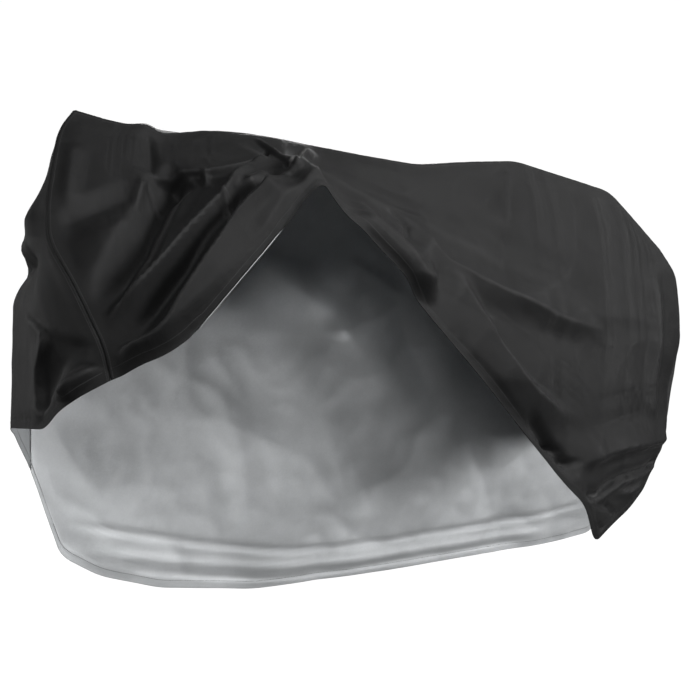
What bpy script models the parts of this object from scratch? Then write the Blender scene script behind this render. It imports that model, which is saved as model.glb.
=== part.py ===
"""Fitted bicycle cover, hung as in use, with its near side pulled up to the top.

The cover is four sides of cloth around a hollow: a near and a far side, and a gusset that comes
down at the front, runs over the top and comes down at the rear. Each piece is a patch of cloth
between its seams and its hem, pushed in and out by its folds and then thickened.

Units are metres. X runs from the front end to the rear end, Y to the far side and Z up. The tables
give heights above the ground; the finished pieces are lowered so that the origin is the place
under the top cloth where the cover is carried.
"""

import math
from collections import namedtuple

import bmesh
import bpy
import numpy as np

# Driving sizes of the cloth.
CLOTH_THICKNESS = 0.002
SEAM_GAP = 0.0004
CARRIED_HEIGHT = 1.14
CORNER_RADIUS = 0.03

# Cells along each patch: along the cover, down a side or an end, and across the gusset. Along the
# cover, the front share of it is cut finer, because the gathered folds lie there.
CELLS_ALONG = 56
CELLS_DOWN = 22
CELLS_ACROSS = 6
GATHERED_SHARE = 0.31
CELLS_IN_GATHERED_SHARE = 0.43

# Seam between the near side and the gusset: x, y, height.
NEAR_SEAM_FRONT = (
    (-0.836, -0.115, 1.164),
    (-0.865, -0.132, 1.125),
    (-0.877, -0.150, 1.083),
    (-0.900, -0.195, 0.970),
    (-0.904, -0.225, 0.897),
    (-0.868, -0.265, 0.819),
    (-0.820, -0.298, 0.702),
    (-0.809, -0.300, 0.646),
)
NEAR_SEAM_TOP = (
    (-0.836, -0.115, 1.164),
    (-0.776, -0.120, 1.151),
    (-0.731, -0.120, 1.147),
    (-0.695, -0.120, 1.153),
    (-0.667, -0.125, 1.133),
    (-0.566, -0.110, 1.157),
    (-0.475, -0.110, 1.161),
    (-0.185, -0.120, 1.139),
    (-0.055, -0.125, 1.131),
    (0.094, -0.120, 1.154),
    (0.230, -0.120, 1.170),
    (0.542, -0.120, 1.120),
    (0.594, -0.125, 1.077),
    (0.735, -0.115, 0.976),
)
NEAR_SEAM_REAR = (
    (0.735, -0.115, 0.976),
    (0.802, -0.110, 0.910),
    (0.816, -0.110, 0.804),
    (0.818, -0.110, 0.717),
    (0.760, -0.120, 0.604),
    (0.752, -0.120, 0.466),
    (0.707, -0.130, 0.409),
)

# Seam between the far side and the gusset: x, y, height.
FAR_SEAM_FRONT = (
    (-0.800, 0.120, 1.170),
    (-0.835, 0.135, 1.090),
    (-0.862, 0.155, 1.000),
    (-0.872, 0.190, 0.900),
    (-0.866, 0.240, 0.740),
    (-0.860, 0.270, 0.427),
)
FAR_SEAM_TOP = (
    (-0.800, 0.120, 1.170),
    (-0.500, 0.125, 1.150),
    (-0.100, 0.120, 1.130),
    (0.250, 0.120, 1.150),
    (0.560, 0.120, 1.100),
    (0.800, 0.120, 0.980),
)
FAR_SEAM_REAR = (
    (0.800, 0.120, 0.980),
    (0.900, 0.120, 0.890),
    (0.935, 0.130, 0.740),
    (0.935, 0.160, 0.520),
    (0.925, 0.210, 0.330),
)

# Hems: x, y, height.
NEAR_HEM = (
    (-0.809, -0.300, 0.646),
    (-0.716, -0.350, 0.686),
    (-0.661, -0.352, 0.731),
    (-0.521, -0.352, 0.894),
    (-0.445, -0.348, 0.993),
    (-0.410, -0.340, 1.024),
    (-0.384, -0.335, 0.993),
    (-0.261, -0.310, 0.890),
    (-0.002, -0.280, 0.647),
    (0.253, -0.270, 0.388),
    (0.320, -0.270, 0.330),
    (0.348, -0.270, 0.236),
    (0.407, -0.250, 0.257),
    (0.513, -0.220, 0.297),
    (0.607, -0.180, 0.341),
    (0.707, -0.130, 0.409),
)
FAR_HEM = (
    (-0.860, 0.270, 0.427),
    (-0.780, 0.330, 0.204),
    (-0.688, 0.350, 0.145),
    (-0.527, 0.360, 0.091),
    (-0.283, 0.360, 0.058),
    (0.150, 0.360, 0.059),
    (0.748, 0.350, 0.083),
    (0.877, 0.310, 0.110),
    (0.925, 0.210, 0.330),
)
FRONT_HEM = (
    (-0.809, -0.300, 0.646),
    (-0.886, -0.270, 0.599),
    (-0.905, -0.205, 0.556),
    (-0.934, 0.030, 0.542),
    (-0.905, 0.180, 0.515),
    (-0.860, 0.270, 0.427),
)
REAR_HEM = (
    (0.707, -0.130, 0.409),
    (0.800, -0.060, 0.420),
    (0.900, 0.080, 0.400),
    (0.925, 0.210, 0.330),
)

# The two crosswise seams of the gusset: x, y, height.
FRONT_TOP_EDGE = (
    (-0.836, -0.115, 1.164),
    (-0.814, 0.000, 1.186),
    (-0.800, 0.120, 1.170),
)
REAR_TOP_EDGE = (
    (0.735, -0.115, 0.976),
    (0.775, 0.000, 0.998),
    (0.800, 0.120, 0.980),
)

# A fold runs along a curve through three places. Its half width goes from `wide` to `wider`, and
# its push out of the cloth goes through three values. `lean` makes one flank steep and the other
# gentle, and `crisp` sharpens its crest. A place is read on a flat plan of the patch.
Fold = namedtuple("Fold", "start middle end wide wider pushes lean crisp")

# The near side, as x and height. The first five fan out from the gather at the top.
NEAR_FOLDS = (
    Fold((-0.709, 1.043), (-0.612, 1.066), (-0.480, 1.096), 0.060, 0.045, (0.006, 0.028, 0.022), 0.4, 0.3),
    Fold((-0.626, 1.030), (-0.703, 0.913), (-0.832, 0.744), 0.045, 0.055, (-0.026, -0.040, -0.012), 0.0, 0.1),
    Fold((-0.508, 1.070), (-0.628, 0.950), (-0.812, 0.738), 0.036, 0.036, (0.012, 0.018, 0.008), 0.2, 0.2),
    Fold((-0.536, 1.016), (-0.640, 0.898), (-0.797, 0.695), 0.038, 0.042, (-0.012, -0.026, -0.010), 0.0, 0.0),
    Fold((-0.400, 1.080), (-0.580, 0.900), (-0.788, 0.672), 0.060, 0.060, (0.018, 0.032, 0.014), 0.2, 0.1),
    Fold((-0.695, 1.150), (-0.702, 1.095), (-0.716, 1.030), 0.040, 0.040, (0.006, 0.012, 0.002), 0.0, 0.8),
    Fold((-0.725, 1.021), (-0.808, 0.969), (-0.885, 0.915), 0.050, 0.050, (-0.004, -0.020, -0.006), 0.0, 0.2),
    Fold((-0.167, 0.996), (0.027, 0.868), (0.566, 0.745), 0.070, 0.120, (0.020, 0.052, 0.012), 0.4, 0.4),
    Fold((-0.052, 0.883), (-0.010, 0.835), (0.046, 0.774), 0.040, 0.040, (0.010, 0.014, 0.004), 0.0, 0.2),
    Fold((0.070, 0.674), (0.201, 0.596), (0.321, 0.521), 0.055, 0.060, (0.010, 0.020, 0.008), 0.0, 0.2),
    Fold((0.160, 0.540), (0.250, 0.460), (0.350, 0.400), 0.045, 0.045, (-0.006, -0.020, -0.010), 0.0, 0.1),
    Fold((-0.330, 0.990), (-0.200, 0.870), (0.000, 0.700), 0.045, 0.055, (-0.016, -0.032, -0.016), 0.0, 0.1),
    Fold((0.192, 1.152), (0.175, 1.065), (0.158, 0.988), 0.050, 0.050, (0.012, 0.012, 0.002), 0.0, 0.8),
    Fold((0.700, 0.941), (0.714, 0.756), (0.650, 0.459), 0.050, 0.050, (0.004, 0.014, 0.010), 0.0, 0.2),
    Fold((0.334, 0.345), (0.446, 0.371), (0.689, 0.398), 0.040, 0.035, (-0.014, -0.022, -0.010), 0.0, 0.2),
)
# The far side, as x and height: the wide shoulder, soft facets and the hem's ripples.
FAR_FOLDS = (
    Fold((-0.620, 0.960), (-0.380, 0.980), (-0.100, 0.940), 0.260, 0.260, (0.030, 0.075, 0.030), 0.0, 0.0),
    Fold((-0.350, 0.930), (-0.120, 0.780), (0.100, 0.540), 0.090, 0.120, (0.000, -0.034, -0.010), 0.0, 0.2),
    Fold((0.100, 0.960), (0.080, 0.800), (0.300, 0.500), 0.080, 0.100, (0.010, 0.028, 0.010), 0.0, 0.2),
    Fold((-0.780, 0.260), (0.000, 0.150), (0.860, 0.190), 0.030, 0.030, (-0.006, -0.010, -0.006), 0.0, 0.3),
    Fold((-0.700, 0.180), (0.000, 0.100), (0.800, 0.130), 0.028, 0.028, (0.004, 0.009, 0.004), 0.0, 0.2),
)
# The top, as x and y: it sags between what carries it.
TOP_FOLDS = (
    Fold((-0.300, 0.000), (-0.080, 0.000), (0.130, 0.000), 0.110, 0.110, (-0.004, -0.016, -0.004), 0.0, 0.0),
)
# The front end, as y and height: a hollow, the notch under it, and a crease down the near corner.
FRONT_FOLDS = (
    Fold((-0.100, 1.010), (0.000, 1.010), (0.120, 1.000), 0.150, 0.150, (-0.016, -0.032, -0.020), 0.0, 0.0),
    Fold((-0.200, 0.862), (-0.050, 0.866), (0.150, 0.874), 0.040, 0.045, (-0.014, -0.040, -0.024), 0.0, 0.1),
    Fold((-0.100, 0.800), (-0.195, 0.700), (-0.205, 0.565), 0.055, 0.050, (0.006, 0.018, 0.012), 0.0, 0.4),
)
# The rear end, as y and height.
REAR_FOLDS = (
    Fold((0.020, 0.930), (0.030, 0.700), (0.050, 0.450), 0.110, 0.110, (0.010, 0.030, 0.010), 0.0, 0.0),
)

# How far a fold is held at a seam, and how much of it is left at a hem.
SEAM_HOLD = 0.045
HEM_SHARE = 0.4


def rounded(places, radius=CORNER_RADIUS):
    """The places joined by straight runs, each corner rounded off."""
    places = np.array(places, float)
    line = [places[0]]
    for before, corner, after in zip(places, places[1:], places[2:]):
        reach_in = min(radius, 0.45 * np.linalg.norm(before - corner))
        reach_out = min(radius, 0.45 * np.linalg.norm(after - corner))
        enter = corner + (before - corner) / np.linalg.norm(before - corner) * reach_in
        leave = corner + (after - corner) / np.linalg.norm(after - corner) * reach_out
        for t in np.linspace(0.0, 1.0, 7):
            line.append((1 - t) ** 2 * enter + 2 * t * (1 - t) * corner + t**2 * leave)
    line.append(places[-1])
    return np.array(line)


def cut_at(line, shares):
    """Places on the line at these shares of its length."""
    lengths = np.linalg.norm(np.diff(line, axis=0), axis=1)
    along = np.concatenate([[0.0], np.cumsum(lengths)])
    wanted = np.array(shares) * along[-1]
    return np.stack([np.interp(wanted, along, line[:, k]) for k in range(3)], axis=1)


def evenly(line, cells):
    """The line cut into cells of equal length."""
    return cut_at(line, np.linspace(0.0, 1.0, cells + 1))


def lengthwise(line):
    """The line cut into cells that are finer in its gathered front share."""
    cells = np.linspace(0.0, 1.0, CELLS_ALONG + 1)
    return cut_at(line, np.interp(cells, (0.0, CELLS_IN_GATHERED_SHARE, 1.0), (0.0, GATHERED_SHARE, 1.0)))


def patch(top, bottom, left, right):
    """A smooth patch between four edges that share their corners: rows down, columns along."""
    u = np.linspace(0.0, 1.0, len(top))[None, :, None]
    v = np.linspace(0.0, 1.0, len(left))[:, None, None]
    across = (1 - u) * left[:, None] + u * right[:, None]
    down = (1 - v) * top[None] + v * bottom[None]
    corners = (1 - v) * ((1 - u) * top[0] + u * top[-1])
    corners = corners + v * ((1 - u) * bottom[0] + u * bottom[-1])
    return across + down - corners


def outward(grid, side):
    """Unit directions out of the hollow, where side is 1 or -1 for how the patch is wound."""
    along = np.gradient(grid, axis=1)
    down = np.gradient(grid, axis=0)
    normal = np.cross(along, down) * side
    return normal / np.linalg.norm(normal, axis=2, keepdims=True)


def fold_push(flat, fold):
    """How far one fold pushes each place of the cloth, read on a flat plan of it."""
    start, middle, end = (np.array(p, float) for p in (fold.start, fold.middle, fold.end))
    bend = 2 * middle - (start + end) / 2
    t = np.linspace(0.0, 1.0, 33)
    curve = (
        ((1 - t) ** 2)[:, None] * start
        + (2 * t * (1 - t))[:, None] * bend
        + (t**2)[:, None] * end
    )
    nearest = np.full(flat.shape[:2], np.inf)
    travelled = np.zeros(flat.shape[:2])
    flank = np.zeros(flat.shape[:2])
    for i in range(len(t) - 1):
        run = curve[i + 1] - curve[i]
        offset = flat - curve[i]
        share = np.clip(offset @ run / (run @ run), 0.0, 1.0)
        away = offset - share[..., None] * run
        distance = np.linalg.norm(away, axis=2)
        closer = distance < nearest
        nearest = np.where(closer, distance, nearest)
        travelled = np.where(closer, t[i] + share * (t[1] - t[0]), travelled)
        turn = run[0] * away[..., 1] - run[1] * away[..., 0]
        flank = np.where(closer, np.sign(turn), flank)
    width = fold.wide + (fold.wider - fold.wide) * travelled
    width = width * (1 + fold.lean * flank)
    s = np.clip(nearest / width, 0.0, 1.0)
    crest = (1 - fold.crisp) * np.cos(0.5 * math.pi * s) ** 2 + fold.crisp * (1 - s) ** 2
    first, middle, last = fold.pushes
    push = np.interp(travelled, (0.0, 0.5, 1.0), (first, middle, last))
    return push * crest


def from_edge(grid, axis):
    """How far each place lies from the first and from the last line of the grid along one axis."""
    steps = np.linalg.norm(np.diff(grid, axis=axis), axis=2)
    run = np.cumsum(steps, axis=axis)
    start = np.zeros_like(np.take(run, [0], axis=axis))
    run = np.concatenate([start, run], axis=axis)
    return run, np.take(run, [-1], axis=axis) - run


def eased(distance, reach):
    """Rises smoothly from 0 to 1 over the reach."""
    t = np.clip(distance / reach, 0.0, 1.0)
    return t * t * (3 - 2 * t)


def folded(grid, side, folds, axes, seams="top left right"):
    """The patch with its folds pushed in and out. The seams keep their places."""
    flat = grid[..., list(axes)]
    push = sum((fold_push(flat, fold) for fold in folds), np.zeros(grid.shape[:2]))
    from_top, from_bottom = from_edge(grid, 0)
    from_left, from_right = from_edge(grid, 1)
    distances = {"top": from_top, "bottom": from_bottom, "left": from_left, "right": from_right}
    for name, distance in distances.items():
        rise = eased(distance, SEAM_HOLD)
        push = push * (rise if name in seams else HEM_SHARE + (1 - HEM_SHARE) * rise)
    return grid + outward(grid, side) * push[..., None]


def unit(ways):
    return ways / np.linalg.norm(ways, axis=1, keepdims=True)


def setbacks(seam, inner_a, inner_b):
    """How far two pieces stop short of their seam, so that their thick edges stay apart."""
    along = unit(np.gradient(seam, axis=0))
    ways = [unit(inner - seam) for inner in (inner_a, inner_b)]
    square = [way - (way * along).sum(axis=1, keepdims=True) * along for way in ways]
    between = (unit(square[0]) * unit(square[1])).sum(axis=1)
    turn = math.pi - np.arccos(np.clip(between, -1.0, 1.0))
    short = CLOTH_THICKNESS / 2 * np.tan(turn / 2) + SEAM_GAP / 2
    return [
        way * short[:, None] / np.linalg.norm(part, axis=1, keepdims=True)
        for way, part in zip(ways, square)
    ]


def edge_line(grid, edge, inward=0):
    """The line of places at an edge, or so many lines inward of it. An edge is (axis, 0 or -1)."""
    axis, end = edge
    return np.take(grid, end - inward if end else inward, axis=axis)


def move_edge(grid, edge, by):
    axis, end = edge
    place = [slice(None), slice(None)]
    place[axis] = end
    grid[tuple(place)] += by


def part_seam(grid_a, edge_a, grid_b, edge_b):
    """Moves the shared edge of two patches apart."""
    seam = edge_line(grid_a, edge_a)
    by_a, by_b = setbacks(seam, edge_line(grid_a, edge_a, 1), edge_line(grid_b, edge_b, 1))
    move_edge(grid_a, edge_a, by_a)
    move_edge(grid_b, edge_b, by_b)


def cloth_material(name, colour, roughness):
    material = bpy.data.materials.new(name)
    material.use_nodes = True
    shader = material.node_tree.nodes["Principled BSDF"]
    shader.inputs["Base Color"].default_value = (*colour, 1.0)
    shader.inputs["Roughness"].default_value = roughness
    shader.inputs["Metallic"].default_value = 0.0
    return material


def add_sheet(name, grid, side, material, collection, carrier):
    """One piece of cloth: the patch as triangles, thickened about its middle.

    On the near side the triangles' diagonals run the same way as the gathered folds.
    """
    rows, columns = grid.shape[:2]
    mesh = bpy.data.meshes.new(name)
    work = bmesh.new()
    points = [[work.verts.new(grid[r, c]) for c in range(columns)] for r in range(rows)]
    for r in range(rows - 1):
        for c in range(columns - 1):
            corners = [points[r][c], points[r][c + 1], points[r + 1][c + 1], points[r + 1][c]]
            work.faces.new(corners if side > 0 else corners[::-1])
    bmesh.ops.triangulate(work, faces=work.faces[:], quad_method="FIXED")
    work.to_mesh(mesh)
    work.free()
    mesh.shade_smooth()
    mesh.materials.append(material)
    sheet = bpy.data.objects.new(name, mesh)
    sheet.parent = carrier
    collection.objects.link(sheet)
    thickness = sheet.modifiers.new("cloth thickness", "SOLIDIFY")
    thickness.thickness = CLOTH_THICKNESS
    thickness.offset = 0.0
    return sheet


def clear_scene():
    for item in list(bpy.data.objects):
        bpy.data.objects.remove(item, do_unlink=True)


def near_side_patch():
    return patch(
        top=lengthwise(rounded(NEAR_SEAM_TOP)),
        bottom=lengthwise(rounded(NEAR_HEM)),
        left=evenly(rounded(NEAR_SEAM_FRONT), CELLS_DOWN),
        right=evenly(rounded(NEAR_SEAM_REAR), CELLS_DOWN),
    )


def far_side_patch():
    return patch(
        top=lengthwise(rounded(FAR_SEAM_TOP)),
        bottom=lengthwise(rounded(FAR_HEM)),
        left=evenly(rounded(FAR_SEAM_FRONT), CELLS_DOWN),
        right=evenly(rounded(FAR_SEAM_REAR), CELLS_DOWN),
    )


def top_patch():
    return patch(
        top=lengthwise(rounded(FAR_SEAM_TOP)),
        bottom=lengthwise(rounded(NEAR_SEAM_TOP)),
        left=evenly(rounded(FRONT_TOP_EDGE)[::-1], CELLS_ACROSS),
        right=evenly(rounded(REAR_TOP_EDGE)[::-1], CELLS_ACROSS),
    )


def front_end_patch():
    return patch(
        top=evenly(rounded(FRONT_TOP_EDGE), CELLS_ACROSS),
        bottom=evenly(rounded(FRONT_HEM), CELLS_ACROSS),
        left=evenly(rounded(NEAR_SEAM_FRONT), CELLS_DOWN),
        right=evenly(rounded(FAR_SEAM_FRONT), CELLS_DOWN),
    )


def rear_end_patch():
    return patch(
        top=evenly(rounded(REAR_TOP_EDGE), CELLS_ACROSS),
        bottom=evenly(rounded(REAR_HEM), CELLS_ACROSS),
        left=evenly(rounded(NEAR_SEAM_REAR), CELLS_DOWN),
        right=evenly(rounded(FAR_SEAM_REAR), CELLS_DOWN),
    )


def build():
    clear_scene()
    cover = bpy.data.collections.new("bicycle_cover")
    bpy.context.scene.collection.children.link(cover)
    carrier = bpy.data.objects.new("carried_place", None)
    carrier.location.z = -CARRIED_HEIGHT
    cover.objects.link(carrier)

    near = folded(near_side_patch(), -1, NEAR_FOLDS, (0, 2))
    far = folded(far_side_patch(), 1, FAR_FOLDS, (0, 2))
    top = folded(top_patch(), -1, TOP_FOLDS, (0, 1), "top bottom left right")
    front = folded(front_end_patch(), 1, FRONT_FOLDS, (1, 2))
    rear = folded(rear_end_patch(), -1, REAR_FOLDS, (1, 2))

    part_seam(near, (0, 0), top, (0, -1))
    part_seam(far, (0, 0), top, (0, 0))
    part_seam(near, (1, 0), front, (1, 0))
    part_seam(far, (1, 0), front, (1, -1))
    part_seam(near, (1, -1), rear, (1, 0))
    part_seam(far, (1, -1), rear, (1, -1))
    part_seam(top, (1, 0), front[:, ::-1], (0, 0))
    part_seam(top, (1, -1), rear[:, ::-1], (0, 0))

    black = cloth_material("black_cloth", (0.035, 0.035, 0.036), 0.45)
    silver = cloth_material("silver_cloth", (0.05, 0.05, 0.052), 0.5)
    pieces = (
        ("near_side_panel", near, -1, black),
        ("far_side_panel", far, 1, silver),
        ("top_strip", top, -1, black),
        ("front_end_panel", front, 1, black),
        ("rear_end_panel", rear, -1, black),
    )
    for name, grid, side, material in pieces:
        add_sheet(name, grid, side, material, cover, carrier)


build()
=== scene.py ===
"""Looks of a fitted bicycle cover, hung as in use, with its near side pulled up to the top.

Units are metres. X runs from the front end to the rear end, Y to the far side and Z up. The tables
give heights above the ground, and the finished cloth is lowered so that the origin is the place
under the top where the cover is carried. Many points of the edges and folds in sight were worked out
by a program from places in the photograph, at given depths.
"""

import math
from collections import namedtuple

import bpy
import numpy as np
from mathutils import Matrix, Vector, noise


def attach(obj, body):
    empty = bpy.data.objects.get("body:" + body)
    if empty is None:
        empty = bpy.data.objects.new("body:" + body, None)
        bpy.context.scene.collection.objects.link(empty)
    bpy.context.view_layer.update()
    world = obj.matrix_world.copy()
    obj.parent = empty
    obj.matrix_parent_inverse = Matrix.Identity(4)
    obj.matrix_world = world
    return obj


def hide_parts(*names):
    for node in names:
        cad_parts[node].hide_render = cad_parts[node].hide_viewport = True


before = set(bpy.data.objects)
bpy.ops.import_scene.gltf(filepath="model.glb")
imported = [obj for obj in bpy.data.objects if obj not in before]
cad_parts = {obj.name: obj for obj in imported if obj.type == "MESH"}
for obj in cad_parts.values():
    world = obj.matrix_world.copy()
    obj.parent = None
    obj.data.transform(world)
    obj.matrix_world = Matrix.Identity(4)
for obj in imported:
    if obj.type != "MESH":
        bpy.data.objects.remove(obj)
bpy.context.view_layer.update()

# ------------------------------------------------------------------------------ Near side panel
# The large piece of coated cloth that closes the near side, black outside and silver inside. Its
# hem is pulled up to the top and caught there, so that the cloth gathers and fans out in folds
# towards the front, and hangs in one long slope towards the rear. Sewn inside out.

CARRIED_HEIGHT = 1.14
CLOTH_THICKNESS = 0.0012
# An outline's corners are rounded to this radius, or over this share of the shorter run beside
# them, in this many steps.
CORNER_RADIUS = 0.03
CORNER_SHARE = 0.45
CORNER_STEPS = 8

# Seam between the near side and the gusset: x, y, height.
NEAR_SEAM_FRONT = (
    (-0.836, -0.115, 1.164),
    (-0.865, -0.132, 1.125),
    (-0.877, -0.150, 1.083),
    (-0.900, -0.195, 0.970),
    (-0.904, -0.225, 0.897),
    (-0.868, -0.265, 0.819),
    (-0.820, -0.298, 0.702),
    (-0.809, -0.300, 0.646),
)
NEAR_SEAM_TOP = (
    (-0.836, -0.115, 1.164),
    (-0.776, -0.120, 1.151),
    (-0.731, -0.120, 1.147),
    (-0.695, -0.120, 1.153),
    (-0.667, -0.125, 1.133),
    (-0.566, -0.110, 1.157),
    (-0.475, -0.110, 1.161),
    (-0.185, -0.120, 1.139),
    (-0.055, -0.125, 1.131),
    (0.094, -0.120, 1.154),
    (0.230, -0.120, 1.170),
    (0.542, -0.120, 1.120),
    (0.594, -0.125, 1.077),
    (0.735, -0.115, 0.976),
)
NEAR_SEAM_REAR = (
    (0.735, -0.115, 0.976),
    (0.802, -0.110, 0.910),
    (0.816, -0.110, 0.804),
    (0.818, -0.110, 0.717),
    (0.760, -0.120, 0.604),
    (0.752, -0.120, 0.466),
    (0.707, -0.130, 0.409),
)
# The lifted hem, from the front seam up to the gather and down to the rear corner.
NEAR_HEM = (
    (-0.809, -0.300, 0.646),
    (-0.716, -0.350, 0.686),
    (-0.661, -0.352, 0.731),
    (-0.521, -0.352, 0.894),
    (-0.445, -0.348, 0.993),
    (-0.410, -0.340, 1.024),
    (-0.384, -0.335, 0.993),
    (-0.261, -0.310, 0.890),
    (-0.002, -0.280, 0.647),
    (0.253, -0.270, 0.388),
    (0.320, -0.270, 0.330),
    (0.348, -0.270, 0.236),
    (0.407, -0.250, 0.257),
    (0.513, -0.220, 0.297),
    (0.607, -0.180, 0.341),
    (0.707, -0.130, 0.409),
)

# A fold runs along a path. `left` and `right` are the widths of its flanks, seen along the path,
# `heights` its push out of the cloth at the path's start, middle and end, and `lap` how far its
# crest hangs over to the left. `crisp` sharpens the crest, `narrow` is the share of the widths that
# is left at the path's end, and `ends` the shares of the path over which it rises and dies out.
Fold = namedtuple(
    "Fold", "path left right heights lap crisp narrow ends", defaults=(0.0, 0.2, 1.0, (0.2, 0.2))
)

# The near side's folds, as x and height, each gathered fold from below up to the gather.
GATHERED_FOLDS = (
    # The upper cloth, which falls over the gather in one band.
    Fold(((-0.715, 1.035), (-0.655, 1.050), (-0.595, 1.050), (-0.525, 1.065), (-0.475, 1.090)),
         0.070, 0.020, (0.016, 0.030, 0.026), -0.016, 0.5, 1.0, (0.2, 0.12)),
    # The first deep valley, and the small facet that stands in its upper end.
    Fold(((-0.830, 0.750), (-0.800, 0.795), (-0.755, 0.870), (-0.715, 0.940), (-0.675, 1.005),
          (-0.635, 1.035)),
         0.060, 0.030, (-0.026, -0.050, -0.050), 0.0, 0.2, 0.9, (0.25, 0.08)),
    Fold(((-0.610, 1.010), (-0.605, 1.050)), 0.012, 0.012, (0.008, 0.012, 0.012), 0.0, 0.6),
    # The first ridge, and a small one on its back.
    Fold(((-0.825, 0.740), (-0.765, 0.790), (-0.705, 0.850), (-0.625, 0.935), (-0.555, 1.005),
          (-0.475, 1.095)),
         0.022, 0.050, (0.020, 0.040, 0.026), 0.020, 0.6, 0.5, (0.2, 0.25)),
    Fold(((-0.565, 0.985), (-0.535, 1.005), (-0.495, 1.040)),
         0.010, 0.020, (0.006, 0.014, 0.012), 0.006, 0.6),
    # The second deep valley and its facet.
    Fold(((-0.785, 0.705), (-0.730, 0.775), (-0.675, 0.845), (-0.625, 0.915), (-0.565, 0.975),
          (-0.525, 1.010)),
         0.040, 0.024, (-0.020, -0.034, -0.024), 0.0, 0.2, 0.6, (0.25, 0.1)),
    Fold(((-0.585, 0.945), (-0.575, 0.985)), 0.011, 0.011, (0.008, 0.012, 0.010), 0.0, 0.6),
    # The big fold that ends under the front end, and the soft folds on its back.
    Fold(((-0.815, 0.680), (-0.730, 0.715), (-0.680, 0.780), (-0.615, 0.865), (-0.560, 0.940),
          (-0.515, 0.985), (-0.460, 1.040)),
         0.022, 0.110, (0.026, 0.040, 0.024), 0.022, 0.6, 0.5, (0.12, 0.12)),
    Fold(((-0.550, 0.970), (-0.480, 1.030), (-0.430, 1.060)),
         0.020, 0.012, (0.003, 0.008, 0.006), 0.0, 0.8),
    Fold(((-0.560, 0.880), (-0.470, 0.990), (-0.370, 1.090), (-0.320, 1.135)),
         0.040, 0.030, (0.004, 0.010, 0.010), 0.0, 0.4, 0.6),
    Fold(((-0.640, 0.760), (-0.560, 0.860), (-0.480, 0.960)),
         0.030, 0.040, (0.002, 0.010, 0.004), 0.0, 0.3),
    Fold(((-0.470, 1.040), (-0.405, 1.085), (-0.340, 1.135)),
         0.016, 0.022, (0.006, 0.010, 0.006), 0.004, 0.6),
    # Two short horns where the cloth is pushed out from inside, each with a pocket under it.
    Fold(((-0.475, 1.145), (-0.465, 1.120), (-0.450, 1.085)),
         0.012, 0.012, (0.004, 0.010, 0.010), 0.0, 0.3, 1.0, (0.3, 0.25)),
    Fold(((-0.480, 1.100), (-0.470, 1.090)),
         0.010, 0.010, (-0.010, -0.014, -0.010), 0.0, 0.2, 1.0, (0.4, 0.4)),
    Fold(((-0.460, 1.100), (-0.450, 1.080), (-0.440, 1.045)),
         0.012, 0.012, (0.004, 0.010, 0.010), 0.0, 0.3, 1.0, (0.3, 0.25)),
    Fold(((-0.465, 1.060), (-0.455, 1.055)),
         0.010, 0.010, (-0.010, -0.014, -0.010), 0.0, 0.2, 1.0, (0.4, 0.4)),
)
FRONT_PART_FOLDS = (
    # The packing crease at the front, with the small dart in which it ends.
    Fold(((-0.705, 1.040), (-0.695, 1.100), (-0.693, 1.145)),
         0.060, 0.016, (-0.007, -0.008, -0.005), 0.0, 0.9, 1.0, (0.1, 0.2)),
    Fold(((-0.750, 0.960), (-0.720, 1.030)), 0.020, 0.012, (0.002, 0.006, 0.006), 0.0, 0.8),
    Fold(((-0.700, 0.970), (-0.715, 1.025)), 0.010, 0.006, (-0.003, -0.006, -0.004), 0.0, 0.8),
    # The slack under it, which runs down to the front seam, and the swells below and beside it.
    Fold(((-0.895, 0.915), (-0.810, 0.960), (-0.725, 1.005)),
         0.040, 0.045, (-0.006, -0.014, -0.006), 0.0, 0.2),
    Fold(((-0.870, 0.810), (-0.820, 0.890), (-0.760, 0.960)),
         0.050, 0.060, (0.002, 0.006, 0.004), 0.0, 0.2),
    Fold(((-0.870, 0.960), (-0.860, 1.040), (-0.845, 1.100)),
         0.030, 0.040, (0.004, 0.012, 0.006), 0.0, 0.3),
)
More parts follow.
